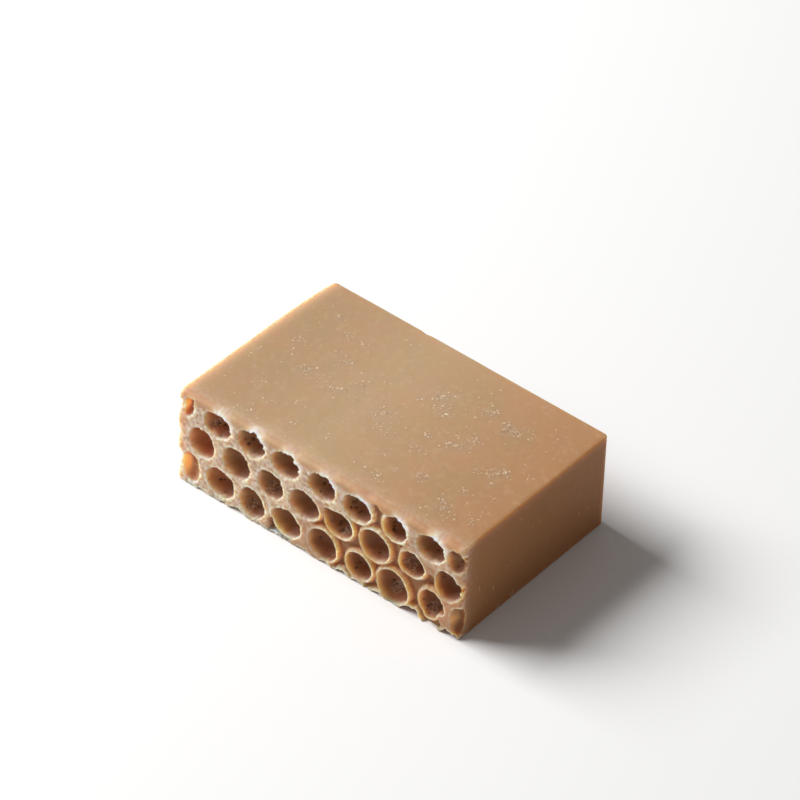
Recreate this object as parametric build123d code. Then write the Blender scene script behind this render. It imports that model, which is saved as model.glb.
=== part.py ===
from build123d import *
import math
import os

# A bar of handmade soap, cut from a loaf that set under a sheet of bubble film.
# The bar lies as it was cut: the top and the underside are the wire-cut faces, the two ends and
# the back were against the mould, and the front carries the print of the bubbles.
# Millimetres. X runs along the bar, Y from the printed front to the back, Z up.
# The origin is the middle of the bar's footprint, on the underside.

# The bar
length = 88.3
depth = 55.8
height = 28.5

# How far the walls lean between the underside and the top, and how far the front runs askew
left_lean = 1.8
right_lean = 0.6
front_lean = 1.4
front_skew = 1.4

# Rounding of the moulded back corners and of the front's worn right corner
corner_radius = 1.6
worn_radius = 1.0

# The edges that the wire left are trimmed by this much
edge_trim = 0.4

# The bubble film: three rows show, and a fourth was cut off under the bar
bubble_pitch = 11.0
row_pitch = 8.9
first_row_height = -3.3
first_bubble = 6.9
row_count = 4

# One bubble, pressed into the soap: a round cup with a bevel between its wall and its floor
bubble_width = 8.8
bubble_depth = 3.9
floor_bevel = 1.2

# Each row from the left, lowest first. A bubble has its stray from its even place along the row,
# in millimetres, and its size as a share of the usual bubble. Against the right end they are small.
bubble_rows = (
    ((0.0, 0.98), (0.0, 1.0), (0.2, 0.98), (0.0, 0.95), (0.0, 0.98), (0.3, 0.93), (0.0, 1.05), (0.0, 0.95)),
    ((0.7, 0.95), (0.9, 1.02), (-0.1, 1.0), (0.1, 0.98), (0.5, 1.01), (0.8, 0.94), (0.1, 1.06), (1.0, 0.9),
     (-3.7, 0.48)),
    ((0.3, 0.95), (0.3, 1.01), (0.2, 0.93), (-0.4, 1.0), (-0.1, 0.93), (-0.2, 1.1), (-0.1, 0.86), (0.0, 0.83)),
    ((-0.4, 0.59), (-0.3, 0.98), (-0.8, 1.02), (-1.0, 1.0), (-0.4, 1.0), (-0.2, 1.0), (0.1, 0.86), (-0.2, 1.0),
     (-3.6, 0.43)),
)

# Inside a ring of bubbles the film sagged and left them raised rims. The ring names each by its
# row and column, and closes round one of the row above, which the wire cut off.
rim_width = 0.6
web_depth = 1.3
web_ring = ((0, 4), (1, 4), (2, 3), (2, 4), (3, 5), (4, 5), (3, 6), (2, 6), (2, 7), (1, 7), (0, 7))

# How far each cutter runs out past the surface that it opens
overrun = 1.0


def front_plane():
    """The leaning front: local x runs along the bar from its lower left corner, local y runs up."""
    along = (length, front_skew, 0)
    outward = (height * front_skew, -height * length, front_lean * length)
    return Plane(origin=(-length / 2, -depth / 2, 0), x_dir=along, z_dir=outward)


def left_plane():
    """The left end, whose foot stands out to the left."""
    return Plane(origin=(-length / 2, 0, 0), x_dir=(0, -1, 0), z_dir=(-height, 0, left_lean))


def right_plane():
    """The right end, whose top stands out to the right."""
    return Plane(origin=(length / 2, 0, height), x_dir=(0, 1, 0), z_dir=(height, 0, -right_lean))


def cut_block():
    """The bar with flat faces and sharp edges, as the wire and the mould leave it."""
    block = Box(length, depth, height, align=(Align.CENTER, Align.CENTER, Align.MIN))
    for wall in (front_plane(), left_plane(), right_plane()):
        block = split(block, bisect_by=wall, keep=Keep.BOTTOM)
    return block


def soften(block):
    """Round three upright corners, then trim the edges of the top and the underside but the front's."""
    upright = [edge for edge in block.edges() if abs(edge.tangent_at(0.5).Z) > 0.9]
    back_corners = [edge for edge in upright if edge.center().Y > 0]
    block = fillet(back_corners, corner_radius)
    worn = block.edges().sort_by(lambda edge: edge.center().X - edge.center().Y)[-1]
    block = fillet(worn, worn_radius)
    level = [edge for edge in block.edges() if abs(edge.tangent_at(0.5).Z) < 0.1]
    front = front_plane()
    trimmed = [edge for edge in level if abs(front.to_local_coords(edge.center()).Z) > edge_trim]
    return chamfer(trimmed, edge_trim)


def bubble_at(row, column):
    """One bubble's place along and up the front, and its size."""
    sizes = bubble_rows[row % len(bubble_rows)]
    stray, size = sizes[column % len(sizes)]
    inset = 0 if row % 2 == 0 else bubble_pitch / 2
    along = first_bubble - inset + column * bubble_pitch + stray
    return along, first_row_height + row * row_pitch, size


def bubble_places():
    """Every bubble whose middle lies between the bar's two ends."""
    columns = math.ceil(length / bubble_pitch) + 1
    places = [bubble_at(row, column) for row in range(row_count) for column in range(columns)]
    return [place for place in places if place[0] < length]


def bubble_cup(size):
    """The hollow of one bubble, opening towards local +Z from a mouth at local zero."""
    wall = bubble_width * size / 2
    deep = bubble_depth * size
    bevel = floor_bevel * size
    foot = ((wall, bevel - deep), (wall - bevel, -deep))
    section = Polyline((0, -deep), (0, overrun), (wall, overrun), *foot, close=True)
    return revolve(make_face(Plane.XZ * section), Axis.Z)


def web_recess(places):
    """The sag of the film: the area inside its ring of bubbles, less a disc for each rim."""
    corners = [bubble_at(row, column)[:2] for row, column in web_ring]
    area = make_face(Polyline(*corners, close=True))
    for along, up, size in places:
        area -= Pos(along, up) * Circle(bubble_width * size / 2 + rim_width)
    return extrude(area, web_depth + overrun)


def soap_bar():
    """The whole bar, one solid."""
    bar = soften(cut_block())
    places = bubble_places()
    front = front_plane()
    bar -= front * Pos(0, 0, -web_depth) * web_recess(places)
    cups = [front * Pos(along, up, 0) * bubble_cup(size) for along, up, size in places]
    bar -= cups
    return bar


os.makedirs("parts", exist_ok=True)
bar = soap_bar()
bar.label = "soap_bar"
export_step(bar, "parts/soap_bar.step")
print("volume in cubic centimetres:", round(bar.volume / 1000, 2))
print("solids:", len(bar.solids()))
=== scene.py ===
import functools
import math
import types

import bpy
import numpy as np
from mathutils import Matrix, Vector
from mathutils.geometry import delaunay_2d_cdt


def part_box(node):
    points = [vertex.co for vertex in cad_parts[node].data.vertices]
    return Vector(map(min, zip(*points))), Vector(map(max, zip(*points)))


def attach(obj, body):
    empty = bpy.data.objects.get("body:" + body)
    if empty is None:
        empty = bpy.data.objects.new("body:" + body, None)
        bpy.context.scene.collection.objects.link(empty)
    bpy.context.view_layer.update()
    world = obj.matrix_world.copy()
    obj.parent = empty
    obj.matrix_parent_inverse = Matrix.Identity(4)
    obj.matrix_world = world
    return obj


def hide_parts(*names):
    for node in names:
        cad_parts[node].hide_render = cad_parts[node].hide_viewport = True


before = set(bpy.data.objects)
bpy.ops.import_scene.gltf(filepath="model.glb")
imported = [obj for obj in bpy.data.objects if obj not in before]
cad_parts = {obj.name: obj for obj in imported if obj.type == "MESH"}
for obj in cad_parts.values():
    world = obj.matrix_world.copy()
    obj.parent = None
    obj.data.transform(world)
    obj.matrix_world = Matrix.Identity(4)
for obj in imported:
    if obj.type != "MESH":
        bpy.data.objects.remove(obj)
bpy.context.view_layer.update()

# A bar of handmade soap. One closed skin is laid over the bar in four patches that share their
# edges: the front with its print of bubbles, the walls round the other three sides, the top and
# the underside. Grains of salt lie in the wire-cut top.
# Sizes are millimetres until a mesh is made. "Along" and "up" are measured on the front from the
# bar's lower left corner.
METRE = 1000.0

# The bar, from the frame
box_low, box_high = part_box("soap_bar")
left, front, bottom = (value * METRE for value in box_low)
right, back, top = (value * METRE for value in box_high)
length = right - left
height = top - bottom

# How the faces stand: both ends and the front lean, the front runs askew, and towards the back
# the left end bows inwards
left_lean = 0.62
left_bow = 1.2
right_lean = 0.6
front_lean = 1.4
front_skew = 1.4

# Roundings, and how far each blends into the print
back_corner = 1.3
cut_edge = 0.4
fin_edge = 0.3
lip_edge = 1.5
chipped_lip = 2.1
worn_corner = 1.9
edge_blend = 0.12

# The fin where the soap crept up the mould's left end: height, overhang to the left of the end's
# plane, and depth behind the film
fin = (
    (0.0, -0.1, 0.4), (2.0, 0.05, 0.0), (4.5, 0.1, 0.6), (7.0, 0.2, 1.6), (8.9, 0.3, 0.8),
    (11.0, 0.35, -0.5), (12.6, 0.35, 0.0), (15.0, 0.3, 0.75), (17.0, 0.45, 0.1), (18.5, 0.55, -0.7),
    (20.0, 0.6, -0.4), (22.0, 0.3, 0.5), (23.9, 0.2, 1.1), (26.4, 0.2, 0.0), (27.9, 0.05, 0.1),
    (28.5, 0.0, 0.3),
)
# How far the fin reaches over the front, and how far back along the end
fin_width = 1.0
fin_run = 3.0

# The skin stays this far inside the solid's left face
left_gap = 0.02

# The droop of the top's front lip, and the wire's cut: how far it lies under the top, and its broad
# and its fine waves
lip_droop = 0.32
wire_cut = 0.10
broad_waves = 0.035
fine_waves = 0.015

# A small nick in the top's back edge: its place, depth and width, and how far in it runs
nick_at = -12.5
nick_depth = 0.35
nick_width = 1.0
nick_run = 0.6

# Clusters of salt grains in the top: x, y and how thick the cluster is
grain_clusters = (
    (-33.1, 18.3, 2), (-24.9, 24.1, 2), (-25.9, 14.8, 2), (-21.6, 15.1, 1), (-33.8, 5.9, 2),
    (-32.7, 1.2, 2), (-39.4, -3.5, 2), (-24.4, 7.1, 2), (-19.5, 7.2, 1), (-25.3, -1.9, 3),
    (-15.0, 5.7, 2), (-18.7, -2.3, 2), (-15.4, -1.4, 2), (-12.7, 3.6, 1), (-9.4, 2.4, 2),
    (-10.5, -1.9, 1), (-4.2, 9.7, 1), (1.5, 9.2, 2), (5.0, 12.3, 4), (7.7, 13.3, 2), (9.1, 8.5, 3),
    (-4.6, 2.6, 1), (0.2, -0.5, 3), (2.1, -4.2, 3), (-2.5, -2.9, 1), (17.9, 15.6, 3), (23.7, 13.9, 2),
    (28.3, 14.0, 2), (28.7, 17.7, 1), (26.2, 13.5, 2), (20.9, 4.9, 4), (20.5, 2.9, 2), (17.9, 1.3, 2),
    (12.4, 0.2, 1), (6.2, -11.8, 2), (13.3, -4.9, 2), (-4.9, -16.2, 1), (7.3, -20.0, 1), (12.6, -18.6, 2),
    (9.0, -22.4, 1), (21.7, -6.1, 2), (20.7, -11.5, 2), (33.1, 0.6, 3), (33.9, -3.8, 2), (30.4, -8.8, 1),
    (29.1, -14.7, 2), (29.1, -18.8, 3), (31.2, -16.7, 3), (35.9, -14.2, 2), (37.9, -16.1, 2),
    (33.6, -19.9, 2), (38.8, -6.6, 1), (39.0, 3.8, 1), (-33.4, -3.5, 1), (-39.5, -12.9, 1),
    (-30.9, -12.3, 1), (-18.7, -11.7, 1), (-24.8, -15.0, 1), (-7.3, -10.5, 1), (13.7, -14.4, 1),
    (29.1, -2.2, 1),
)

# The grains: how many where they lie thickest, their smallest and largest width, how flat they are,
# and how far they tilt and turn, in radians
grains_per_square_metre = 3000000.0
smallest_grain = 0.26
largest_grain = 0.9
grain_flatness = 0.55
grain_tilt = 0.12
full_turn = 6.283

# How thick stray grains lie between the clusters, and the step of the net that carries them all
stray_grains = 0.016
bed_step = 0.6

# How far apart the mesh's points stand: on the print, along the edges, on the top and the ends, and
# on the back and the underside
fine = 0.26
outline_step = 0.2
middling = 0.8
coarse = 1.6

# How deep most bubbles are
usual_depth = 3.9


def bubble(along, up, wide, tall, deep=usual_depth, pulls=(), ragged=0.0, bites=(), lit=0.0, pale=0.0):
    """The print of one bubble. Each pull draws its outline out towards some degrees by some mm, and
    each bite is a chip out of its rim. A ragged one has more chips, at random, at its upper right.
    A lit one lets light in through its thin side, and a pale one has pale ash and painted light in its lower
    right."""
    return types.SimpleNamespace(along=along, up=up, wide=wide, tall=tall, deep=deep, pulls=pulls,
                                 ragged=ragged, bites=bites, lit=lit, pale=pale)


top_row = (
    bubble(3.3, 24.3, 2.8, 5.4, deep=2.0, pulls=((55, 0.9), (248, 1.2)), bites=((60, 0.4), (5, 0.5)),
           lit=0.9),
    bubble(12.1, 23.1, 8.4, 7.2, ragged=0.5, bites=((62, 0.5), (38, 0.6), (18, 0.5))),
    bubble(22.9, 23.4, 8.5, 7.3, ragged=0.5, bites=((72, 1.0), (50, 0.6), (24, 0.5), (4, 0.6))),
    bubble(33.8, 23.0, 8.4, 7.2, ragged=0.5, pulls=((178, 0.4),),
           bites=((62, 1.2), (80, 0.6), (20, 0.7), (-4, 0.6))),
    bubble(45.2, 22.8, 8.5, 7.3, ragged=0.4, bites=((64, 0.9), (40, 0.4), (20, 0.4))),
    bubble(56.0, 22.2, 8.5, 7.0, ragged=0.3, pulls=((38, 0.4), (142, 0.3)), bites=((86, 0.4),), pale=0.8),
    bubble(67.7, 22.9, 7.0, 6.8, ragged=0.4, bites=((86, 0.7), (60, 0.5), (28, 0.4)), pale=0.9),
    bubble(78.4, 23.2, 8.5, 7.2, ragged=0.5, bites=((84, 0.6), (58, 0.5), (32, 0.5)), pale=0.9),
    bubble(85.9, 23.4, 4.6, 6.8, deep=2.2, ragged=0.5, bites=((70, 0.6), (40, 0.4)), lit=0.12),
)
middle_row = (
    bubble(7.3, 15.0, 8.3, 8.4, ragged=0.25, bites=((38, 0.3),)),
    bubble(18.4, 14.8, 8.8, 8.8, ragged=0.25),
    bubble(29.3, 14.5, 8.0, 8.1, ragged=0.25),
    bubble(39.8, 14.3, 9.1, 8.0, ragged=0.25, pulls=((0, 0.3),)),
    bubble(50.9, 14.5, 8.4, 7.4, pulls=((150, 1.2), (45, 0.2)), pale=0.6),
    bubble(61.9, 14.5, 8.9, 8.8),
    bubble(73.2, 15.3, 7.3, 7.0, ragged=0.2),
    bubble(83.9, 14.7, 7.1, 8.3, pulls=((125, 0.5),), bites=((30, 0.6), (12, 0.7), (-20, 0.4)), pale=0.8),
)
bottom_row = (
    bubble(4.0, 5.8, 5.6, 8.4, deep=1.9, pulls=((100, 0.4),), lit=1.0),
    bubble(13.3, 5.9, 9.2, 8.2, ragged=0.25, pulls=((40, 0.3),)),
    bubble(23.6, 5.4, 8.2, 8.6, ragged=0.2),
    bubble(34.7, 5.6, 8.7, 8.0, ragged=0.25, pulls=((165, 0.7),), bites=((20, 0.4),)),
    bubble(46.0, 5.4, 8.9, 8.7),
    bubble(57.3, 5.4, 7.8, 7.7),
    bubble(67.7, 5.2, 9.2, 9.4, pulls=((265, 0.4),)),
    bubble(79.6, 6.7, 7.4, 8.2, ragged=0.3, pulls=((255, 0.5), (-48, -1.2)), pale=1.3),
    bubble(87.0, 5.4, 3.7, 8.8, deep=2.7, lit=0.6),
)
cut_row = (
    bubble(7.6, -3.3, 7.6, 8.2),
    bubble(14.4, -0.6, 2.2, 3.2, deep=2.0, ragged=0.3),
    bubble(18.8, -3.1, 7.4, 8.6, ragged=0.4),
    bubble(30.8, -3.6, 8.8, 8.2, ragged=0.3),
    bubble(40.2, -3.4, 7.6, 8.2, ragged=0.4),
    bubble(46.8, -2.1, 5.0, 5.8, deep=2.4, ragged=0.4),
    bubble(52.2, -2.9, 6.4, 7.6, ragged=0.4),
    bubble(57.0, -1.1, 4.2, 3.8, deep=1.8, ragged=0.4),
    bubble(63.2, -3.2, 6.6, 8.0, ragged=0.4),
    bubble(73.2, -2.7, 7.6, 9.4, bites=((70, 0.7), (40, 0.5))),
    bubble(84.7, -3.0, 7.0, 9.0, bites=((100, 0.5), (60, 0.6))),
)
bubbles = top_row + middle_row + bottom_row + cut_row

# Air holes in the hollows, by their place and width, and how deep they are
pores = (
    (10.6, 21.4, 0.7), (12.1, 21.2, 0.6), (12.7, 19.6, 0.6), (21.2, 22.2, 0.9), (20.9, 21.3, 0.9),
    (19.9, 22.3, 0.5), (29.0, 12.3, 0.7), (29.3, 11.4, 0.6), (29.6, 11.7, 0.5), (11.2, 4.2, 0.8),
    (13.7, 2.3, 0.5), (12.2, 4.3, 0.5), (23.6, 2.5, 0.8), (21.6, 3.9, 0.6), (23.0, 2.1, 0.5),
    (43.7, 21.3, 0.8), (44.0, 20.0, 0.6), (53.2, 21.6, 0.7), (53.6, 21.4, 0.6), (53.3, 20.4, 0.6),
    (54.2, 20.3, 0.7), (55.6, 19.8, 0.7), (55.4, 19.6, 0.6), (53.7, 21.9, 0.6), (65.6, 22.3, 0.8),
    (65.8, 21.4, 0.8), (66.1, 20.8, 0.9), (66.5, 20.6, 0.8), (78.6, 20.9, 0.6), (87.6, 25.6, 0.9),
    (86.6, 22.9, 0.8), (85.8, 21.2, 0.5), (49.4, 12.8, 0.8), (49.5, 12.3, 0.8), (50.7, 11.5, 0.9),
    (50.4, 11.3, 0.7), (49.8, 13.2, 0.6), (51.4, 12.1, 0.5), (62.0, 10.9, 0.7), (81.2, 15.2, 0.8),
    (81.5, 15.0, 0.5), (43.3, 4.6, 0.7), (45.6, 2.1, 0.5), (47.1, 1.4, 0.5), (55.7, 3.8, 0.7),
    (55.4, 2.9, 0.8), (53.8, 6.0, 0.4), (65.8, 4.1, 0.9), (66.6, 3.3, 0.7), (77.5, 4.2, 0.7),
    (77.8, 4.4, 0.6), (76.4, 6.0, 0.5),
)
hole_depth = 0.35

# Spongy patches of much smaller holes, by their place and reach
spongy = (
    (70.7, 13.4, 1.5), (72.0, 12.7, 1.4), (67.1, 2.9, 1.4), (67.7, 3.5, 1.0), (78.3, 3.9, 1.2),
    (78.5, 3.3, 1.0), (51.5, 11.7, 0.8), (10.2, 21.4, 1.1), (28.2, 11.8, 1.3), (22.0, 3.0, 1.2),
)

# The middle of a bubble of the row above, which the wire cut off
lost_bubble = (62.4, 29.5)

# The film sagged between these bubbles, and left them raised rims
sag_ring = (
    cut_row[6], bottom_row[4], middle_row[3], middle_row[4], top_row[5], lost_bubble, top_row[6],
    middle_row[6], middle_row[7], bottom_row[7], cut_row[10],
)
sag_depth = 1.4
rim_width = 0.2
sag_slope = 1.1

# The sag stops below the top, and a notch runs on up from it: the sag's top, and the notch's place,
# rise and width
sag_top = 26.3
notch_at = 61.9
notch_rise = 1.4
notch_width = 1.2

# A recess at the foot, beside the fourth bubble of the lowest row. At its left, its right and its
# top, the first value is where it starts and the second where it is at its full depth
recess_left = (28.4, 29.2)
recess_right = (36.2, 34.6)
recess_top = (5.0, 4.2)
recess_depth = 1.5

# The web between the bubbles: how deep it lies, its broad unevenness and its grain
web_sink = 0.15
web_waves = 0.15
web_grain = 0.13

# Shape of a bubble's hollow, steep on the right and gentle on the left, the roundness of its rim and
# the roughness of its floor
hollow_power = 3.4
steep_wall = 0.5
gentle_wall = 0.95
rim_slope = 3.0
rim_round = 0.3
chip_depth = 1.2
floor_roughness = 0.07

# A pull's width round the outline in radians, how much an outline wobbles, how far a bubble's print
# reaches from its middle, and a distance past any of them
pull_width = 0.35
rim_wobble = 0.03
bubble_reach = 8.0
far_off = 9.0

# Where the web turns from grainy to smooth along the bar, and how far that leans with the height;
# where the upper row's grain starts up the front, and where it halves along the bar
grain_ends = (36, 48)
grain_lean = 0.4
upper_grain_starts = (17, 19)
upper_grain_halves = (48, 60)

# The lip's chips: how far right of a bubble's middle, as a share of its width, and their reach. Its
# white crumbs and painted highlight: their direction from a bubble's middle, in degrees, and their reach past
# the rim
chip_offset = 0.33
chip_spread = 1.7
crumbs_towards = 55
crumbs_reach = 1.2

# How strong the pale ash is: on the web, and what grain, the sag and the sag's slope add or take
# away; on a rim, and what grain adds; at the front's right edge; as painted light at its left edge;
# and as ash and painted light in a lower right
web_ash = 0.17
grain_ash = 0.5
sag_loss = 0.4
slope_ash = 0.3
rim_ash = 0.55
rim_grain_ash = 0.35
left_edge_ash = 0.85
right_edge_ash = 0.45
lower_right_ash = 0.22

# The values that colour each point
shade_names = ("ash", "cup", "cut", "glow", "white", "pore", "foam", "streaks")


def smooth_step(low, high, value):
    """Zero at low, one at high and an easy rise between. Low may be the higher of the two."""
    share = np.clip((value - low) / (high - low), 0, 1)
    return share * share * (3 - 2 * share)


def fade(distance, reach):
    """One at no distance, and falling off smoothly to nothing over about two reaches."""
    return np.exp(-(distance / reach) ** 2)


def smooth_max(first, second, reach):
    """The larger of two depths, with the crease between them rounded over the given reach."""
    near = np.maximum(reach - np.abs(first - second), 0) / reach
    return np.maximum(first, second) + near * near * reach / 4


@functools.lru_cache(maxsize=None)
def random_table(seed, count):
    """A square of random values, the same for the same seed."""
    return np.random.default_rng(seed).uniform(-1, 1, (count, count))


def lumps(along, up, size, seed):
    """Smooth random unevenness between -1 and 1, in lumps of the given size."""
    count = 256
    table = random_table(seed, count)
    across, rise = along / size + 100, up / size + 100
    column, row = np.floor(across).astype(int), np.floor(rise).astype(int)
    across, rise = across - column, rise - row
    across = across * across * (3 - 2 * across)
    rise = rise * rise * (3 - 2 * rise)
    lower = (table[column % count, row % count] * (1 - across)
             + table[(column + 1) % count, row % count] * across)
    upper = (table[column % count, (row + 1) % count] * (1 - across)
             + table[(column + 1) % count, (row + 1) % count] * across)
    return lower * (1 - rise) + upper * rise


@functools.lru_cache(maxsize=None)
def all_pores():
    """Every air hole: its place, its width, its depth behind the film and the two slopes of the print
    there."""
    along, up, wide = np.array(pores).T
    depth = bare_print(along, up)[0]
    slope_along = (bare_print(along + 0.1, up)[0] - bare_print(along - 0.1, up)[0]) / 0.2
    slope_up = (bare_print(along, up + 0.1)[0] - bare_print(along, up - 0.1)[0]) / 0.2
    return np.column_stack((along, up, wide, depth, slope_along, slope_up))


def pore_share(along, up, depth):
    """One in the middle of an air hole and zero beside it."""
    holes = np.zeros(along.shape)
    for pore_along, pore_up, wide, pore_depth, *_ in all_pores():
        near = np.flatnonzero((np.abs(along - pore_along) < wide) & (np.abs(up - pore_up) < wide))
        out = np.sqrt((along[near] - pore_along) ** 2 + (up[near] - pore_up) ** 2
                      + (depth[near] - pore_depth) ** 2) / (wide / 2)
        holes[near] = np.maximum(holes[near], smooth_step(1.2, 0.6, out))
    return holes


def outline_radius(one, angle):
    """How far a bubble's rim lies from its middle in one direction, before any chip."""
    wide, tall = one.wide / 2, one.tall / 2
    radius = 1 / np.sqrt((np.cos(angle) / wide) ** 2 + (np.sin(angle) / tall) ** 2)
    for towards, by in one.pulls:
        radius = radius + by * fade(turn_between(angle, towards), pull_width)
    return radius * (1 + rim_wobble * rim_lumps(one, angle, 2.4, 0))


def turn_between(angle, towards):
    """The turn in radians between an angle and a direction in degrees."""
    return np.abs((angle - math.radians(towards) + math.pi) % (2 * math.pi) - math.pi)


def rim_lumps(one, angle, size, seed):
    """Unevenness that runs round a bubble's rim and closes on itself, another for each bubble."""
    bubble_seed = int(one.along * 10 + one.up * 7) + 500
    return lumps(6 * np.cos(angle), 6 * np.sin(angle), size, bubble_seed + seed)


def chip_reach(one, angle, radius):
    """How far the chips reach out past a bubble's rim in one direction."""
    crumbs = rim_lumps(one, angle, 0.75, 1)
    broken = smooth_step(-0.1, 0.3, np.cos(angle - 0.9))
    reach = 0.06 + 0.05 * crumbs + one.ragged * broken * np.clip(crumbs, 0, 1)
    for towards, by in one.bites:
        along_rim = turn_between(angle, towards) * radius
        reach = np.maximum(reach, by * np.sqrt(np.clip(1 - (along_rim / (0.55 * by + 0.35)) ** 2, 0, 1)))
    return reach


def nearness(one, along, up):
    """A point's distance from a bubble's middle as a share of the rim's, the rim's radius there and the
    point's direction."""
    across, rise = along - one.along, up - one.up
    angle = np.arctan2(rise, across)
    radius = outline_radius(one, angle)
    return np.hypot(across, rise) / radius, radius, angle


def within(outline, across, rise):
    """Whether each point lies inside a closed outline."""
    inside = np.zeros(across.shape, bool)
    for (x1, y1), (x2, y2) in zip(outline, np.roll(outline, -1, axis=0)):
        if y1 != y2:
            crosses = (y1 > rise) != (y2 > rise)
            inside ^= crosses & (across < (x2 - x1) * (rise - y1) / (y2 - y1) + x1)
    return inside


def ring_share(along, up):
    """One inside the ring of bubbles round the sag and zero outside, with a soft step between."""
    corners = np.array([one if one is lost_bubble else (one.along, one.up) for one in sag_ring])
    gap = np.full(along.shape, np.inf)
    for (x1, y1), (x2, y2) in zip(corners, np.roll(corners, -1, axis=0)):
        run, climb = x2 - x1, y2 - y1
        share = np.clip(((along - x1) * run + (up - y1) * climb) / (run ** 2 + climb ** 2), 0, 1)
        gap = np.minimum(gap, np.hypot(along - x1 - share * run, up - y1 - share * climb))
    return smooth_step(-0.7, 0.7, np.where(within(corners, along, up), gap, -gap))


def granular_share(along, up):
    """One where the web between the bubbles is grainy and ashy, and zero where it is smooth."""
    at_left = 1 - smooth_step(*grain_ends, along + (14 - up) * grain_lean)
    upper = smooth_step(*upper_grain_starts, up) * (1 - 0.5 * smooth_step(*upper_grain_halves, along))
    return np.maximum(at_left, upper)


def one_hollow(one, along, up):
    """One bubble's print at each point: whether the point is inside the rim, its depth, the gap to the
    rim with its chips, how gentle the wall is, the glow of the hollow's left, the pale ash and painted
    light of its lower right and the light that comes through its side."""
    share, radius, angle = nearness(one, along, up)
    gap = (share - 1) * radius
    inside = gap < 0
    gentle = smooth_step(0.2, -0.9, np.cos(angle - 0.5))
    wall = steep_wall + (gentle_wall - steep_wall) * gentle
    start = chip_depth * (1 - 0.9 * gentle) * one.deep / usual_depth
    inner = start + (one.deep - start) * np.clip(1 - share ** (hollow_power - gentle), 0, 1) ** wall
    reach = chip_reach(one, angle, radius)
    chip = start * np.clip(1 - gap / reach, 0, 1) ** 0.6 - np.clip(gap - reach, 0, None) * rim_slope
    glow = smooth_step(1.35, 0.35, turn_between(angle, 205)) * inside
    ashy = max(one.pale, float(granular_share(one.along, one.up))) + one.lit
    lower_right = smooth_step(1.3, 0.4, turn_between(angle, -42)) * inside * ashy
    side_light = one.lit * np.cos(angle) * np.clip(share * 1.6, 0, 1)
    return inside, np.where(inside, inner, chip), gap - reach, gentle, glow, lower_right, side_light


def web_between(along, up, edge_gap):
    """How far the web between the bubbles lies behind the film, how grainy it is and how sagged."""
    granular = granular_share(along, up)
    web = web_sink + web_waves * lumps(along, up, 3.2, 11)
    relief = 0.2 + granular * smooth_step(27.5, 25.5, up)
    web = web + relief * (web_grain * lumps(along, up, 0.55, 12) + web_grain * lumps(along, up, 1.1, 13))
    rim = rim_width * (1 + 0.8 * lumps(along, up, 1.6, 16))
    sag = ring_share(along, up) * smooth_step(rim, rim + sag_slope, edge_gap)
    notch_top = sag_top + notch_rise * fade(along - notch_at, notch_width)
    sag = sag * smooth_step(notch_top, notch_top - 1.6, up)
    recess = smooth_step(*recess_left, along) * smooth_step(*recess_right, along)
    recess = recess * smooth_step(*recess_top, up) * smooth_step(0.0, 0.45, edge_gap)
    recess = recess * smooth_step(0.1, 0.4, up)
    return web + sag_depth * sag + recess_depth * recess, granular * (1 - recess), np.maximum(sag, recess)


def bare_print(along, up):
    """How far the print lies behind the film at each point, before its air holes, and its shades: the
    gap to the nearest rim, how grainy and how sagged the web is, the hollows' glow, side light, lower
    right ash and painted light, and foam, and how gentle the nearest wall is."""
    hollow = np.full(along.shape, -far_off)
    edge_gap = np.full(along.shape, far_off)
    glow, lit, crescent, soft = np.zeros((4,) + along.shape)
    for one in bubbles:
        beside = np.maximum(np.abs(along - one.along), np.abs(up - one.up))
        near = np.flatnonzero(beside < bubble_reach)
        inside, deep, gap, gentle, left_glow, lower_right, side_light = one_hollow(one, along[near], up[near])
        hollow[near] = np.maximum(hollow[near], deep)
        soft[near] = np.where(gap < edge_gap[near], gentle, soft[near])
        edge_gap[near] = np.minimum(edge_gap[near], gap)
        glow[near] = np.maximum(glow[near], left_glow)
        crescent[near] = np.maximum(crescent[near], lower_right)
        lit[near] = np.where(inside, side_light, lit[near])
    web, granular, sag = web_between(along, up, edge_gap)
    depth = smooth_max(web, hollow, rim_round + 0.55 * soft)
    rough_floor = smooth_step(0.5, 2.0, depth) * floor_roughness * lumps(along, up, 0.8, 14)
    foam = foam_share(along, up) * smooth_step(0.4, 1.2, depth)
    return depth + rough_floor, edge_gap, granular, sag, glow, lit, crescent, foam, soft


def foam_share(along, up):
    """One in the middle of a spongy patch, fading to zero round it."""
    foam = np.zeros(along.shape)
    for place_along, place_up, reach in spongy:
        out = np.hypot(along - place_along, up - place_up) / reach
        foam = np.maximum(foam, smooth_step(1.4, 0.6, out))
    return foam


def print_depth(along, up):
    """How far the print lies behind the film at each point with its air holes, its shades, and where
    the air holes are."""
    depth, *shades = bare_print(along, up)
    holes = pore_share(along, up, depth)
    return depth + hole_depth * holes, *shades, holes


def front_depth(x, z):
    """The depth of the print below the leaning front, with the edges rounded off."""
    along, up = x - left, z - bottom
    depth, *shades = print_depth(along, up)
    from_left = x - left_at(z)
    near_fin = fade(from_left, fin_width)
    depth = depth * (1 - near_fin) + fin_at(z)[1] * near_fin
    lip = lip_edge + (chipped_lip - lip_edge) * lip_chips(x)
    for gap, radius in ((top - z, lip), (from_left, fin_edge), (right_at(z) - x, worn_corner),
                        (z - bottom, cut_edge)):
        inward = np.clip(radius - gap, 0, radius)
        depth = smooth_max(depth, radius - np.sqrt(radius ** 2 - inward ** 2), edge_blend)
    return depth, *shades


def fin_at(z):
    """The fin's overhang to the left and its depth behind the film at a height."""
    heights, over, depth = np.array(fin).T
    place = np.clip(np.searchsorted(heights, z - bottom) - 1, 0, len(heights) - 2)
    share = smooth_step(heights[place], heights[place + 1], z - bottom)
    return (over[place] + (over[place + 1] - over[place]) * share,
            depth[place] + (depth[place + 1] - depth[place]) * share)


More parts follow.
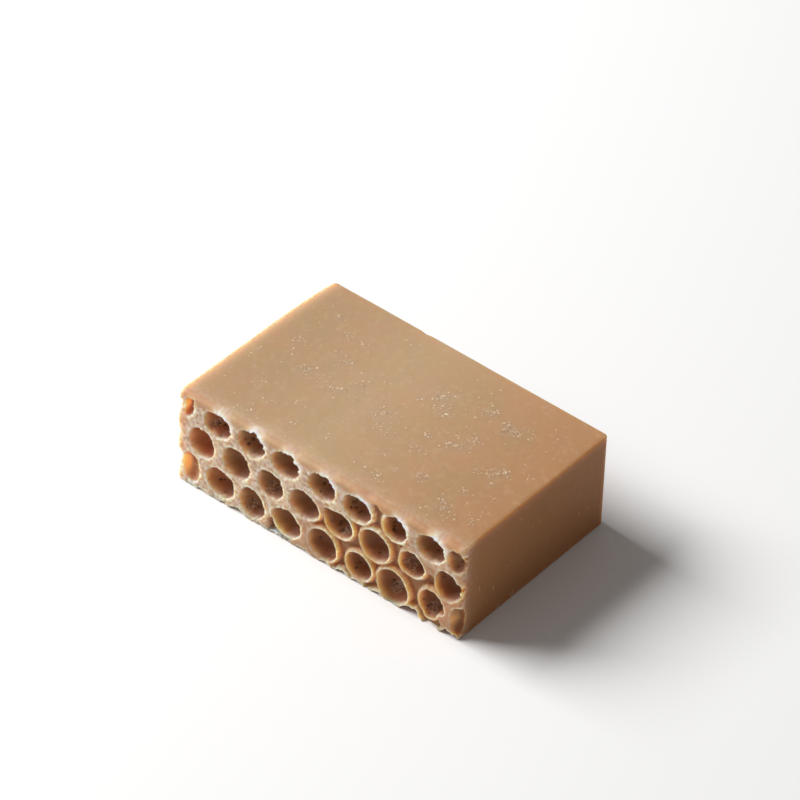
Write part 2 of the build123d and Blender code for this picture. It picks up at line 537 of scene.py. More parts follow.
def left_at(z, y=front):
    """Where the left end stands at a height, with its fin at the front and its bow towards the back."""
    over = fin_at(z)[0] * (1 - np.clip((y - front) / fin_run, 0, 1)) ** 2
    bow = left_bow * np.clip(y / back, 0, 1) ** 4
    return left + left_gap + np.maximum(left_lean * (z - bottom) / height - over, 0) + bow


def right_at(z):
    """Where the right end stands at a height."""
    return right - right_lean * (1 - (z - bottom) / height)


def film_at(x, z):
    """Where the film stood in front of the bar."""
    return front + front_skew * (x - left) / length + front_lean * (z - bottom) / height


def colour_values(count, **shades):
    """The values that colour each point: pale ash on the rims, which also carries painted light on the
    left edges and the lip and in the hollows' lower right; painted shade inside a bubble; the wire's
    cut; light that comes through the thin webs; white chips and a painted highlight along the lip;
    painted shade in the air holes; spongy patches; and painted shade and streaks on the right end.
    Those not given are zero."""
    return np.column_stack([np.broadcast_to(shades.get(name, 0.0), count) for name in shade_names])


def front_skin(x, z):
    """Places and colour values for points of the front."""
    depth, edge_gap, granular, sag, glow, lit, crescent, foam, soft, holes = front_depth(x, z)
    along, up = x - left, z - bottom
    places = np.column_stack((x, film_at(x, z) + depth, z))
    # How much each point belongs to a rim, the lip, the web, the shallow parts and the wire's cut
    rim_reach = np.where(edge_gap > 0.1, 0.28 + 0.25 * sag + 0.15 * granular, 0.28)
    rim = fade(edge_gap - 0.1, rim_reach) * (0.8 + 0.4 * lumps(along, up, 0.9, 62)) * (1 - 0.65 * soft)
    lip = smooth_step(height - 2.6, height - 1.4, up)
    outside = smooth_step(-0.15 - 0.7 * soft, 0.15, edge_gap)
    shallow = np.maximum(1 - smooth_step(0.3 + 1.6 * lip, 1.0 + 2.2 * lip, depth), outside)
    cut = smooth_step(height - 2.9, height - 1.8, up + 0.5 * lumps(along, up, 1.6, 63))
    cut = cut * shallow * (1 - 0.9 * sag)
    slope = 4 * sag * (1 - sag)
    # Pale ash, and painted light along the left edge and in the hollows' lower right
    ash = (grain_ash * granular + web_ash - sag_loss * sag + slope_ash * slope) * (1 - 0.9 * cut)
    ash = np.clip((rim_ash + rim_grain_ash * granular) * rim * (1 - 0.4 * cut) + ash, 0, 1) * shallow
    ash = np.maximum(ash, left_edge_ash * fade(x - left_at(z), 1.2))
    ash = np.maximum(ash, right_edge_ash * fade(right_at(z) - x, 1.6) * outside)
    ash = np.maximum(ash, np.clip(lower_right_ash * crescent * fade(depth, 1.9), 0, 1))
    # Painted shade: darker, browner soap in the hollows, and a little where the web sagged and on the lip
    cup = smooth_step(0.1, 0.9 + (1.0 + 0.8 * granular) * glow, depth) * (1 - outside) * (1 - lip)
    cup = np.maximum(cup * (1 - 0.8 * np.abs(lit)), np.maximum(0.25 * sag, 0.15 * lip) * outside)
    # Light through the thin webs and sides
    glow = (0.45 + 0.15 * granular) * glow * fade(depth, 1.5 + 0.6 * granular)
    glow = np.maximum(glow, np.clip(-lit * 1.3, 0, 1) ** 1.5) * (1 - lip)
    glow = np.maximum(glow, 0.5 * smooth_step(0.1, 0.6, lit))
    # White crumbs and a painted highlight along the lip, and a little white on the rims
    white = np.maximum(lip_white(x, up), 0.12 * rim * (1 - granular)) * shallow * (1 - sag)
    return places, colour_values(len(x), ash=ash, cup=cup, cut=cut, glow=glow, white=white, pore=holes,
                                 foam=foam)


def wall_profile():
    """Rows from the underside's edge up the wall to the top's edge: inset from the wall, and height."""
    quarter = np.linspace(0, math.pi / 2, 5)
    low_inset = cut_edge * (1 - np.sin(quarter))
    low_height = bottom + cut_edge * (1 - np.cos(quarter))
    steps = round((height - 2 * cut_edge) / outline_step)
    middle = np.linspace(bottom + cut_edge, top - cut_edge, steps + 1)[1:-1]
    inset = np.concatenate((low_inset, np.zeros(len(middle)), low_inset[::-1]))
    rise = np.concatenate((low_height, middle, top - (low_height[::-1] - bottom)))
    return inset, rise


def front_columns(inset, rise):
    """Places along the front's bottom edge and along its top edge, from one side to the other."""
    start, end = left_at(rise) + inset, right_at(rise) - inset
    count = round((end[-1] - start[-1]) / outline_step) + 1
    return np.linspace(start[0], end[0], count), np.linspace(start[-1], end[-1], count)


def triangulate(flat, outline_count):
    """Triangles between flat points, of which the first ones run round the outline. The triangulation
    works in single precision, so those outside the outline are looked for in it too."""
    rim = [(index, (index + 1) % outline_count) for index in range(outline_count)]
    points = [Vector((float(across), float(rise))) for across, rise in flat]
    result = delaunay_2d_cdt(points, rim, [], 1, 1e-5, True)
    source = [ids[0] for ids in result[3]]
    faces = np.array([[source[corner] for corner in face] for face in result[2]])
    flat = flat.astype(np.float32).astype(float)
    on_rim = np.flatnonzero((faces < outline_count).all(axis=1))
    centre = flat[faces[on_rim]].mean(axis=1)
    outside = on_rim[~within(flat[:outline_count], centre[:, 0], centre[:, 1])]
    return np.delete(faces, outside, axis=0)


def even_points(low_across, high_across, low_rise, high_rise, step, seed):
    """Points on a triangular grid, each moved a little at random."""
    chance = np.random.default_rng(seed)
    rows = np.arange(low_rise, high_rise, step * math.sqrt(3) / 2)
    columns = np.arange(low_across, high_across, step)
    rise, across = np.meshgrid(rows, columns, indexing="ij")
    across = across + (np.arange(len(rows)) % 2)[:, None] * step / 2
    jitter = chance.uniform(-0.18, 0.18, (2,) + across.shape) * step
    return (across + jitter[0]).ravel(), (rise + jitter[1]).ravel()


# Rings of points round each bubble, as shares of its rim: close together where the wall is steep
ring_shares = (1.17, 1.13, 1.09, 1.055, 1.025, 1.005, 0.99, 0.97, 0.94, 0.905, 0.855, 0.78, 0.69, 0.58, 0.46,
               0.32, 0.16)

# Rings round each air hole, as shares of its width, and how many points each has
hole_rings = ((0.0, 1), (0.55, 6), (0.95, 9), (1.35, 9))


def ring_points():
    """Points on rings round every bubble, less those that lie nearer to another bubble, and round every
    air hole, drawn together where the print is steep."""
    found = []
    for index, one in enumerate(bubbles):
        for share in ring_shares:
            count = max(8, round(math.pi * (one.wide + one.tall) / 2 * share / fine))
            angle = np.arange(count) * 2 * math.pi / count + index
            radius = outline_radius(one, angle) * share
            along = one.along + radius * np.cos(angle)
            up = one.up + radius * np.sin(angle)
            nearest = np.full(count, far_off)
            for other in bubbles:
                if other is not one:
                    nearest = np.minimum(nearest, nearness(other, along, up)[0])
            keep = nearest > max(share, 1.0) + 0.01
            found.append(np.column_stack((along[keep] + left, up[keep] + bottom)))
    for along, up, wide, _, slope_along, slope_up in all_pores():
        downhill = math.atan2(slope_up, slope_along)
        squeeze = 1 / math.sqrt(1 + slope_along ** 2 + slope_up ** 2)
        for share, count in hole_rings:
            angle = np.arange(count) * 2 * math.pi / count + share
            run, side = wide / 2 * share * np.cos(angle) * squeeze, wide / 2 * share * np.sin(angle)
            found.append(np.column_stack((
                along + left + run * math.cos(downhill) - side * math.sin(downhill),
                up + bottom + run * math.sin(downhill) + side * math.cos(downhill))))
    return np.concatenate(found)


def front_patch(inset, rise):
    """The printed front. Its sides follow the wall's rows."""
    left_side = np.column_stack((left_at(rise) + inset, rise))
    right_side = np.column_stack((right_at(rise) - inset, rise))
    bottom_x, top_x = front_columns(inset, rise)
    bottom_side = np.column_stack((bottom_x, np.full(len(bottom_x), bottom)))[1:-1]
    top_side = np.column_stack((top_x, np.full(len(top_x), top)))[1:-1]
    outline = np.concatenate((bottom_side, right_side, top_side[::-1], left_side[::-1]))
    web_x, web_z = even_points(left, right, bottom, top, fine, 21)
    share = np.full(len(web_x), far_off)
    for one in bubbles:
        share = np.minimum(share, nearness(one, web_x - left, web_z - bottom)[0])
    web = np.column_stack((web_x, web_z))[share > ring_shares[0] + 0.03]
    inner = np.concatenate((ring_points(), web))
    x, z = inner.T
    from_side = np.minimum(x - left_at(z), right_at(z) - x)
    from_level = np.minimum(z - bottom, top - z)
    clear = outline_step * 0.6
    keep = (from_side > clear) & (from_level > clear) & (from_side + from_level > cut_edge * 1.2)
    flat = np.concatenate((outline, inner[keep]))
    places, values = front_skin(flat[:, 0], flat[:, 1])
    return places, values, triangulate(flat, len(outline))


def plan_place(side, share, inset, z, start_y):
    """A point of the walls at one height. The sides are the left end, the left back corner, the back,
    the right back corner and the right end, and share runs 0 to 1 along each. The first column of the
    left end is the front's own side, where the fin stands out in full."""
    near_left, near_right = left_at(z, back - back_corner), right_at(z)
    turn = back_corner - inset
    quarter = share * math.pi / 2
    if side == 0 and share == 0:
        return left_at(z) + inset, start_y
    if side == 0:
        y = start_y + (back - back_corner - start_y) * share
        return left_at(z, np.maximum(y, front)) + inset, y
    if side == 1:
        return near_left + back_corner - turn * np.cos(quarter), back - back_corner + turn * np.sin(quarter)
    if side == 2:
        across = near_right - near_left - 2 * back_corner
        return near_left + back_corner + across * share, back - inset + 0 * z
    if side == 3:
        return near_right - back_corner + turn * np.sin(quarter), back - back_corner + turn * np.cos(quarter)
    return near_right - inset, back - back_corner + (start_y - back + back_corner) * share


def graded(length_mm, near, far):
    """Shares from 0 to 1 whose steps grow from near to far."""
    steps = [0.0]
    step = near
    while steps[-1] < length_mm:
        steps.append(steps[-1] + step)
        step = min(step * 1.35, far)
    return np.array(steps) / steps[-1]


def wall_columns():
    """Each column of the walls: its side, its share along it and its place on the unrolled wall."""
    end_run = back - back_corner - front
    corner_run = back_corner * math.pi / 2
    back_run = length - 2 * back_corner
    end_shares = graded(end_run, outline_step, middling)
    corner_shares = np.linspace(0, 1, 7)
    back_shares = np.linspace(0, 1, round(back_run / coarse))
    columns = []
    passed = 0.0
    for side, shares, run in ((0, end_shares, end_run), (1, corner_shares, corner_run),
                              (2, back_shares, back_run), (3, corner_shares, corner_run),
                              (4, 1 - end_shares[::-1], end_run)):
        columns += [(side, share, passed + share * run) for share in shares[0 if side == 0 else 1:]]
        passed += run
    return columns


def wall_patch(inset, rise, left_front, right_front):
    """The left end, the back and the right end, unrolled. It starts and ends on the front's sides,
    and has every row there and about every fourth one elsewhere."""
    columns = wall_columns()
    sides, _, passed = np.array(columns).T
    last = len(rise) - 1
    coarse_rows = np.r_[1:5, 8:last - 7:4, last - 4:last]
    outline = [(column, 0) for column in range(len(columns))]
    outline += [(len(columns) - 1, row) for row in range(1, last + 1)]
    outline += [(column, last) for column in range(len(columns) - 2, -1, -1)]
    outline += [(0, row) for row in range(last - 1, 0, -1)]
    inner = []
    for column in range(1, len(columns) - 1):
        from_front = min(passed[column], passed[-1] - passed[column])
        rows = range(1, last) if from_front < outline_step * 3 else coarse_rows
        inner += [(column, row) for row in rows]
    column, row = np.array(outline + inner).T
    unrolled = np.cumsum(np.r_[0, np.hypot(np.diff(inset), np.diff(rise))])
    flat = np.column_stack((passed[column], unrolled[row]))
    places = np.empty((len(row), 3))
    for number, (side, share, _) in enumerate(columns):
        chosen = column == number
        rows = row[chosen]
        start_y = (left_front if side == 0 else right_front)[rows, 1]
        x, y = plan_place(side, share, inset[rows], rise[rows], start_y)
        places[chosen] = np.column_stack((x, y, rise[rows]))
    return places, wall_shades(places, sides[column]), triangulate(flat, len(outline))[:, ::-1]


def wall_shades(places, side):
    """Colour values of the walls: the wire's cut along their top, painted light at the top of the left
    end, ash at the worn corner of the right end, and that end's painted glow along its top, its
    painted shade and its streaks."""
    x, y, z = places.T
    right_end = side == 4
    near_top = smooth_step(top - 1.2, top - 0.4, z)
    worn = fade(y - film_at(x, z), 3.8) * right_end
    warm = smooth_step(top - 3.2, top - 0.3, z) * right_end
    # Painted light at the top of the left end, and ash at the right end's worn corner
    ash = 0.6 * near_top * (side == 0) + 0.6 * worn
    # The right end's painted shade and its streaks, less at the worn corner and under the lit top band
    streaks = right_end * (1 - 0.85 * worn) * (1 - 0.85 * warm)
    return colour_values(len(places), cut=near_top * (side < 4), ash=ash, glow=0.06 * warm, streaks=streaks)


def behind_front(front_edge, x, y):
    """How far each point of a level face lies behind the front's edge."""
    return y - np.interp(x, front_edge[:, 0], front_edge[:, 1])


def level_patch(front_edge, inset, z, step, seed, facing_up):
    """The top or the underside, bounded by the front's edge and the walls' last row. The top has a
    band of finer mesh along its lip."""
    edge = []
    for side, share, _ in wall_columns():
        start_y = front_edge[0, 1] if side == 0 else front_edge[-1, 1]
        edge.append(plan_place(side, share, inset, np.float64(z), start_y))
    outline = np.concatenate((front_edge[:, :2], np.array(edge)[::-1][1:-1]))
    x, y = even_points(left, right, front, back, step, seed)
    clear = 0.5 * step
    keep = (behind_front(front_edge, x, y) > clear) & (y < back - inset - clear)
    keep &= (x > left_at(z, y) + inset + clear) & (x < right_at(z) - inset - clear)
    keep &= np.minimum(x - left_at(z, y), right_at(z) - x) + back - y > 1.5 * back_corner
    inner = np.column_stack((x[keep], y[keep]))
    if facing_up:
        x, y = even_points(left, right, front, front + 5, fine * 1.3, seed + 1)
        gap = behind_front(front_edge, x, y)
        near = (gap > 0.15) & (gap < 2.2) & (x > left_at(z, y) + 0.7) & (x < right_at(z) - 0.7)
        far = behind_front(front_edge, *inner.T) > 2.3
        inner = np.concatenate((np.column_stack((x[near], y[near])), inner[far]))
    flat = np.concatenate((outline, inner))
    places = np.column_stack((flat, np.full(len(flat), z)))
    faces = triangulate(flat, len(outline))
    if facing_up:
        return places, top_shades(*flat.T, behind_front(front_edge, *flat.T)), faces
    return places, colour_values(len(flat), cut=1.0), faces[:, ::-1]


def top_shades(x, y, gap):
    """Colour values of the top: the wire's cut, a trace of ash round the salt, painted light along the
    left edge and the lip, and the lip's white crumbs and painted highlight."""
    from_left = x - left_at(top, np.maximum(y, front))
    ash = 0.06 * np.clip(cluster_share(x, y), 0, 1)
    ash = np.maximum(ash, 0.55 * fade(from_left, 0.9))
    ash = np.maximum(ash, 0.17 * fade(gap, 2.4))
    return colour_values(len(x), ash=ash, cut=1.0, glow=0.75 * fade(from_left, 2.1),
                         white=lip_white(x, height + gap))


def wear(places):
    """The wire's uneven cut and the droop of the top's front lip, as a shift of every point near the top."""
    x, y, z = places.T
    gap = y - film_at(x, z)
    near_top = smooth_step(top - 3.0, top, z)
    beside = np.exp(-np.clip(gap, 0, None) / 1.8)
    droop = lip_droop * (0.25 + lip_chips(x)) * beside
    cut = wire_cut + broad_waves * (1 + lumps(x, y, 9.0, 31)) + fine_waves * (1 + lumps(x, y, 2.0, 32))
    nick = nick_depth * np.exp(-((x - nick_at) / nick_width) ** 2 - ((back - y) / nick_run) ** 2)
    return np.column_stack((x, y, z - near_top * (droop + cut + nick)))


def lip_chips(x):
    """One where the lip is chipped, beside each bubble of the upper row, and zero between."""
    chips = np.zeros(x.shape)
    for one in top_row[1:-1]:
        across = x - left - one.along - one.wide * chip_offset
        chips = np.maximum(chips, fade(across, chip_spread))
    return chips


def lip_white(x, run):
    """The white crumbs and painted highlight along the upper right of the top row's rims. The run is
    measured up the front and on over the top."""
    white = np.zeros(x.shape)
    for one in top_row[1:-1]:
        near = np.flatnonzero(np.abs(x - left - one.along) < bubble_reach)
        share, radius, angle = nearness(one, x[near] - left, run[near])
        past = np.clip((share - 1) * radius - 0.5, 0, None)
        arc = smooth_step(1.05, 0.25, turn_between(angle, crumbs_towards))
        white[near] = np.maximum(white[near], 1.25 * arc * fade(past, crumbs_reach))
    return np.clip(white * (0.85 + 0.4 * lumps(x, run, 0.6, 61)), 0, 1)


def weld(patches):
    """One list of points for all patches: those at the same place, to within half a thousandth of a
    millimetre, become one."""
    places = np.concatenate([patch[0] for patch in patches])
    values = np.concatenate([patch[1] for patch in patches])
    starts = np.cumsum([0] + [len(patch[0]) for patch in patches])
    faces = np.concatenate([patch[2] + start for patch, start in zip(patches, starts)])
    keys = np.round(places * 2000).astype(np.int64)
    _, first, merged = np.unique(keys, axis=0, return_index=True, return_inverse=True)
    faces = merged.ravel()[faces]
    whole = (faces[:, 0] != faces[:, 1]) & (faces[:, 1] != faces[:, 2]) & (faces[:, 2] != faces[:, 0])
    return places[first], values[first], faces[whole]


def new_object(name, data):
    """A new object in the scene, from its mesh, its light or its lens."""
    made = bpy.data.objects.new(name, data)
    bpy.context.collection.objects.link(made)
    return made


def mesh_object(name, places, faces, layers):
    """A mesh from points in millimetres, with an attribute for each layer of values."""
    mesh = bpy.data.meshes.new(name)
    mesh.from_pydata((places / METRE).tolist(), [], faces.tolist())
    for title, values in layers.items():
        mesh.attributes.new(title, "FLOAT", "POINT").data.foreach_set("value", values.astype(np.float32))
    return new_object(name, mesh)


def soap_body():
    """The whole bar as one closed skin."""
    inset, rise = wall_profile()
    left_front = front_skin(left_at(rise) + inset, rise)[0]
    right_front = front_skin(right_at(rise) - inset, rise)[0]
    bottom_x, top_x = front_columns(inset, rise)
    bottom_front = front_skin(bottom_x, np.full(len(bottom_x), bottom))[0]
    top_front = front_skin(top_x, np.full(len(top_x), top))[0]
    places, values, faces = weld((
        front_patch(inset, rise),
        wall_patch(inset, rise, left_front, right_front),
        level_patch(top_front, inset[-1], top, middling, 41, True),
        level_patch(bottom_front, inset[0], bottom, coarse, 42, False),
    ))
    skin = mesh_object("soap_body", wear(places), faces, dict(zip(shade_names, values.T)))
    skin.data.shade_smooth()
    return skin


def cluster_share(x, y):
    """How thick the salt lies at each point of the top."""
    thick = np.zeros(x.shape)
    for place_x, place_y, strength in grain_clusters:
        out = np.hypot((x - place_x) / 1.25, y - place_y)
        thick = thick + (0.35 + 0.16 * strength) * fade(out, 0.7 + 0.4 * strength)
    return thick


def grain_bed():
    """A net just over the top. It carries how thick the grains lie at each point."""
    columns = np.arange(left + 4, right - 2.5, bed_step)
    rows = np.arange(front + 5, back - 3, bed_step)
    y, x = np.meshgrid(rows, columns, indexing="ij")
    x, y = x.ravel(), y.ravel()
    thick = stray_grains * smooth_step(back - 2, back - 9, y)
    thick = thick * smooth_step(-0.3, 0.5, lumps(x, y, 9.0, 82) + 0.3)
    thick = thick + cluster_share(x, y) * (0.15 + 1.2 * smooth_step(0.0, 0.5, lumps(x, y, 1.4, 83)))
    places = wear(np.column_stack((x, y, np.full(len(x), top))))
    count = len(columns)
    first = (np.arange(len(rows) - 1)[:, None] * count + np.arange(count - 1)).ravel()
    faces = np.column_stack((first, first + 1, first + count + 1, first + count))
    return mesh_object("grain_bed", places, faces, {"thick": thick})


def node(tree, kind, inputs=None, **settings):
    """A new node with its settings and the values or links of its inputs."""
    made = tree.nodes.new(kind)
    for name, value in settings.items():
        setattr(made, name, value)
    for name, value in (inputs or {}).items():
        if isinstance(value, bpy.types.NodeSocket):
            tree.links.new(value, made.inputs[name])
        else:
            made.inputs[name].default_value = value
    return made


def blend(tree, share, first, second):
    """A mix of two colours."""
    mix = node(tree, "ShaderNodeMix", data_type="RGBA")
    for socket, value in ((mix.inputs[0], share), (mix.inputs[6], first), (mix.inputs[7], second)):
        if isinstance(value, bpy.types.NodeSocket):
            tree.links.new(value, socket)
        else:
            socket.default_value = value
    return mix.outputs[2]


def noise(tree, place, scale, detail):
    """A cloudy pattern, with so many lumps to the metre."""
    cloud = node(tree, "ShaderNodeTexNoise", {"Vector": place, "Scale": scale, "Detail": detail})
    return cloud.outputs["Fac"]


def spread(tree, value, low, high, least=0.0, most=1.0):
    """A value between low and high, spread out between least and most."""
    return node(tree, "ShaderNodeMapRange", {"Value": value, "From Min": low, "From Max": high,
                                             "To Min": least, "To Max": most}).outputs[0]


def product(tree, first, second):
    """Two values multiplied."""
    return node(tree, "ShaderNodeMath", {0: first, 1: second}, operation="MULTIPLY").outputs[0]


def grain_tree(material):
    """Scatters crystals over a bed, as thick as its points say. Small ones are the most common."""
    tree = bpy.data.node_groups.new("salt grains", "GeometryNodeTree")
    tree.interface.new_socket("Bed", in_out="INPUT", socket_type="NodeSocketGeometry")
    for name, kind in (("Grains per square metre", "Float"), ("Smallest", "Float"), ("Largest", "Float"),
                       ("Flatness", "Float"), ("Seed", "Int")):
        tree.interface.new_socket(name, in_out="INPUT", socket_type="NodeSocket" + kind)
    tree.interface.new_socket("Grains", in_out="OUTPUT", socket_type="NodeSocketGeometry")
    given = node(tree, "NodeGroupInput").outputs
    thick = node(tree, "GeometryNodeInputNamedAttribute", {"Name": "thick"}, data_type="FLOAT")
    density = product(tree, thick.outputs["Attribute"], given["Grains per square metre"])
    points = node(tree, "GeometryNodeDistributePointsOnFaces",
                  {"Mesh": given["Bed"], "Density": density, "Seed": given["Seed"]})
    crystal = node(tree, "GeometryNodeMeshIcoSphere", {"Radius": 0.5, "Subdivisions": 1})
    sizes = []
    for step in range(2):
        seed = node(tree, "ShaderNodeMath", {0: given["Seed"], 1: step + 1}, operation="ADD")
        share = node(tree, "FunctionNodeRandomValue", {"Seed": seed.outputs[0]}, data_type="FLOAT")
        bent = node(tree, "ShaderNodeMath", {0: share.outputs["Value"], 1: 2.2 + step}, operation="POWER")
        sizes.append(spread(tree, bent.outputs[0], 0.0, 1.0, given["Smallest"], given["Largest"]))
    high = product(tree, given["Smallest"], given["Flatness"])
    scale = node(tree, "ShaderNodeCombineXYZ", {"X": sizes[0], "Y": sizes[1], "Z": high})
    turn = node(tree, "FunctionNodeRandomValue", data_type="FLOAT_VECTOR")
    turn.inputs["Min"].default_value = (-grain_tilt, -grain_tilt, 0.0)
    turn.inputs["Max"].default_value = (grain_tilt, grain_tilt, full_turn)
    tree.links.new(given["Seed"], turn.inputs["Seed"])
    laid = node(tree, "GeometryNodeInstanceOnPoints", {
        "Points": points.outputs["Points"], "Instance": crystal.outputs["Mesh"],
        "Rotation": turn.outputs["Value"], "Scale": scale.outputs[0],
    })
    real = node(tree, "GeometryNodeRealizeInstances", {"Geometry": laid.outputs[0]})
    shaded = node(tree, "GeometryNodeSetMaterial", {"Geometry": real.outputs[0], "Material": material})
    tree.links.new(shaded.outputs[0], node(tree, "NodeGroupOutput").inputs[0])
    return tree


def baked(source, tree, sizes, name):
    """A plain mesh piece from a tree of Geometry Nodes on a source object, which is then removed."""
    modifier = source.modifiers.new("nodes", "NODES")
    modifier.node_group = tree
    for item in tree.interface.items_tree:
        if item.name in sizes:
            modifier[item.identifier] = sizes[item.name]
    mesh = bpy.data.meshes.new_from_object(source.evaluated_get(bpy.context.evaluated_depsgraph_get()))
    bpy.data.objects.remove(source)
    return new_object(name, mesh)


def soap_grains(material):
    """The salt grains that show in the wire-cut top."""
    sizes = {"Grains per square metre": grains_per_square_metre, "Smallest": smallest_grain / METRE,
             "Largest": largest_grain / METRE, "Flatness": grain_flatness, "Seed": 7}
    return baked(grain_bed(), grain_tree(material), sizes, "soap_grains")


# The wire-cut tans, pinker and more olive, each at the bar's left, middle and right. Their change
# along the bar, and part of their paleness beside the moulded tan, is a painted sheen
pinker_tans = ((0.485, 0.30, 0.168, 1), (0.545, 0.345, 0.20, 1), (0.475, 0.252, 0.118, 1))
olive_tans = ((0.45, 0.30, 0.165, 1), (0.50, 0.345, 0.195, 1), (0.445, 0.252, 0.116, 1))

# Soap against the mould and the film, and its flecks; painted shade inside the bubbles, and in the
# leftmost ones painted shade warmed by painted light through the left end
moulded_tan = (0.41, 0.20, 0.083, 1)
fleck_tan = (0.64, 0.46, 0.30, 1)
hollow_brown = (0.31, 0.105, 0.034, 1)
left_hollow_brown = (0.46, 0.12, 0.034, 1)

# Light through the print's thin parts and through the top's left edge
amber_light = (0.93, 0.60, 0.22, 1)
edge_light = (0.74, 0.54, 0.30, 1)

# What lies over the soap: ash, which also carries painted light; white crumbs with a painted
# highlight; spongy soap's walls and the painted shade of its holes; the painted shade of air holes;
# and the right end's painted shade and its streaks
pale_ash = (0.78, 0.70, 0.57, 1)
white_crumbs = (0.96, 0.93, 0.88, 1)
foam_holes = (0.20, 0.085, 0.035, 1)
foam_walls = (0.56, 0.37, 0.23, 1)
air_hole_brown = (0.18, 0.075, 0.028, 1)
end_brown = (0.38, 0.165, 0.06, 1)
streak_tan = (0.78, 0.60, 0.42, 1)

# Salt, darker and paler
dark_salt = (0.58, 0.40, 0.23, 1)
pale_salt = (0.86, 0.70, 0.48, 1)


def new_material(name):
    """A new material, its node tree, and in that each point's place on the object."""
    material = bpy.data.materials.new(name)
    material.use_nodes = True
    tree = material.node_tree
    tree.nodes.clear()
    return material, tree, node(tree, "ShaderNodeTexCoord").outputs["Object"]


def wire_cut_tan(tree, place, across):
    """Mottled tan, with a painted sheen that changes from the bar's left to its middle and on to its right.
    """
    leftwards = spread(tree, across, -0.008, -0.032)
    rightwards = spread(tree, across, -0.005, 0.044)
    tans = []
    for at_left, middle, at_right in (pinker_tans, olive_tans):
        tans.append(blend(tree, rightwards, blend(tree, leftwards, middle, at_left), at_right))
    return blend(tree, spread(tree, noise(tree, place, 65.0, 3.0), 0.35, 0.65), *tans)


def soap_colour(tree, place, shades, ash):
    """The soap's colour: tan with a painted sheen on the cut, and over it flecks, painted shade in the
    hollows, light, ash and painted light, crumbs and a painted highlight, foam with painted shade in
    its holes, painted shade in the air holes, and the right end's painted shade and its streaks.
    """
    across = node(tree, "ShaderNodeSeparateXYZ", {0: place}).outputs["X"]
    # The wire's cut, with a painted sheen along the bar
    tan = blend(tree, shades["cut"], moulded_tan, wire_cut_tan(tree, place, across))
    tan = blend(tree, spread(tree, noise(tree, place, 620.0, 5.0), 0.52, 0.74, most=0.25), tan, fleck_tan)
    leftmost = spread(tree, across, -0.028, -0.035)
    # Painted shade inside the hollows, warmed in the leftmost ones by painted light through the left end
    tan = blend(tree, shades["cup"], tan, blend(tree, leftmost, hollow_brown, left_hollow_brown))
    tan = blend(tree, shades["glow"], tan, blend(tree, shades["cut"], amber_light, edge_light))
    # Ash, which also carries painted light on the left edges, the lip and the hollows' lower right
    tan = blend(tree, ash, tan, pale_ash)
    # White crumbs and a painted highlight
    tan = blend(tree, shades["white"], tan, white_crumbs)
    # Spongy patches, their small holes painted as shade
    cells = node(tree, "ShaderNodeTexVoronoi", {"Vector": place, "Scale": 1900.0}).outputs["Distance"]
    foam = blend(tree, spread(tree, cells, 0.25, 0.7), foam_holes, foam_walls)
    tan = blend(tree, product(tree, shades["foam"], 0.75), tan, foam)
    # Air holes, painted dark as shade
    tan = blend(tree, shades["pore"], tan, air_hole_brown)
    upright = node(tree, "ShaderNodeMapping", {"Vector": place, "Scale": (1.0, 1.0, 0.22)}).outputs[0]
    streaks = spread(tree, noise(tree, upright, 1300.0, 2.0), 0.66, 0.76, most=0.4)
    # The right end painted darker as shade, then its pale streaks
    tan = blend(tree, shades["streaks"], tan, end_brown)
    return blend(tree, product(tree, shades["streaks"], streaks), tan, streak_tan)


def soap_material():
    """Satin translucent soap: mottled tan, pale ash on the print's rims, painted shade inside the bubbles."""
    material, tree, place = new_material("soap")
    shades = {name: node(tree, "ShaderNodeAttribute", attribute_name=name).outputs["Fac"]
              for name in shade_names}
    # Ash and the painted light it carries, broken up by a cloud
    ash = product(tree, shades["ash"], spread(tree, noise(tree, place, 950.0, 4.0), 0.40, 0.56, least=0.4))
    crumbs = product(tree, noise(tree, place, 900.0, 4.0), spread(tree, ash, 0.0, 0.6, least=0.2))
    bumps = node(tree, "ShaderNodeBump", {"Height": crumbs, "Strength": 0.8, "Distance": 0.0004})
    bumps = node(tree, "ShaderNodeBump", {"Height": noise(tree, place, 2600.0, 2.0), "Strength": 0.15,
                                          "Distance": 0.0001, "Normal": bumps.outputs[0]})
    shader = node(tree, "ShaderNodeBsdfPrincipled", {
        "Base Color": soap_colour(tree, place, shades, ash), "Roughness": 0.62, "Specular IOR Level": 0.4,
        "Subsurface Weight": 1.0, "Subsurface Scale": 0.006, "Subsurface Radius": (1.0, 0.58, 0.24),
        "Normal": bumps.outputs[0], "IOR": 1.46,
    })
    tree.links.new(shader.outputs[0], node(tree, "ShaderNodeOutputMaterial").inputs[0])
    return material


def salt_material():
    """Cloudy pale crystals."""
    material, tree, place = new_material("salt")
    cloud = spread(tree, noise(tree, place, 700.0, 2.0), 0.35, 0.65)
    shader = node(tree, "ShaderNodeBsdfPrincipled", {
        "Base Color": blend(tree, cloud, dark_salt, pale_salt), "Roughness": 0.35,
    })
    tree.links.new(shader.outputs[0], node(tree, "ShaderNodeOutputMaterial").inputs[0])
    return material


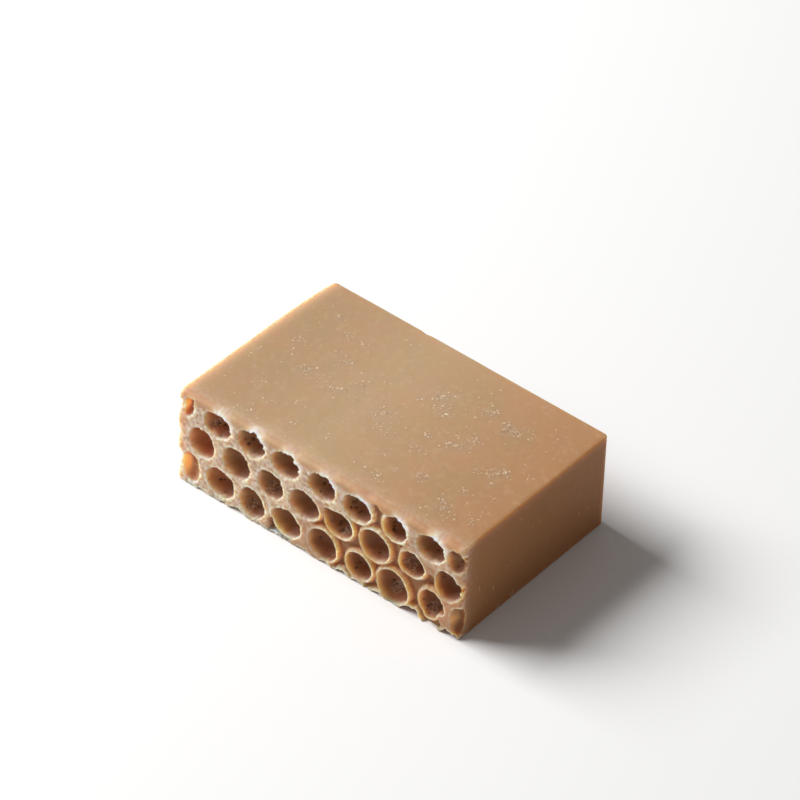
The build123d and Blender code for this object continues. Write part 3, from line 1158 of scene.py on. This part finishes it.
def floor():
    """The pale floor, in one even finish."""
    reach = 6.0 * METRE
    corners = np.array([(-reach, -reach, 0), (reach, -reach, 0), (reach, reach, 0), (-reach, reach, 0)])
    piece = mesh_object("floor", corners, np.array([(0, 1, 2, 3)]), {})
    material = bpy.data.materials.new("floor")
    material.use_nodes = True
    shader = material.node_tree.nodes["Principled BSDF"]
    shader.inputs["Base Color"].default_value = (0.945, 0.945, 0.945, 1)
    shader.inputs["Roughness"].default_value = 0.9
    piece.data.materials.append(material)


def outwards(around, above):
    """The direction from the bar to a place round it. Around 0 is in front of it, and a quarter turn is
    to its right."""
    return Vector((math.sin(around) * math.cos(above), -math.cos(around) * math.cos(above), math.sin(above)))


def lights():
    """A large soft key from the left and a pale surround."""
    key = bpy.data.lights.new("key", "AREA")
    key.size = 0.9
    key.energy = 36.5
    lamp = new_object("key", key)
    to_key = outwards(math.radians(-74), math.radians(42))
    distance = 1.6
    lamp.location = to_key * distance
    lamp.rotation_euler = to_key.to_track_quat("Z", "Y").to_euler()
    world = bpy.data.worlds.new("surround")
    world.use_nodes = True
    background = world.node_tree.nodes["Background"]
    background.inputs["Color"].default_value = (1.0, 0.97, 0.94, 1)
    background.inputs["Strength"].default_value = 0.175
    bpy.context.scene.world = world


def camera():
    """The photograph's view: a long lens from the right, above the front."""
    lens = bpy.data.cameras.new("camera")
    lens.lens = 180
    lens.sensor_width = 36
    lens.clip_end = 20
    stand = new_object("camera", lens)
    around, above = math.radians(41.11), math.radians(41.25)
    backwards = outwards(around, above)
    rightwards = Vector((math.cos(around), math.sin(around), 0))
    distance, sideways, upwards = 0.9663, 0.00232, 0.02436
    stand.location = backwards * distance + rightwards * sideways + backwards.cross(rightwards) * upwards
    stand.rotation_euler = backwards.to_track_quat("Z", "Y").to_euler()
    bpy.context.scene.camera = stand


body = soap_body()
body.data.materials.append(soap_material())
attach(body, "root")
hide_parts("soap_bar")

grains = soap_grains(salt_material())
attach(grains, "root")

floor()
lights()
camera()
bpy.context.scene.view_settings.view_transform = "Standard"
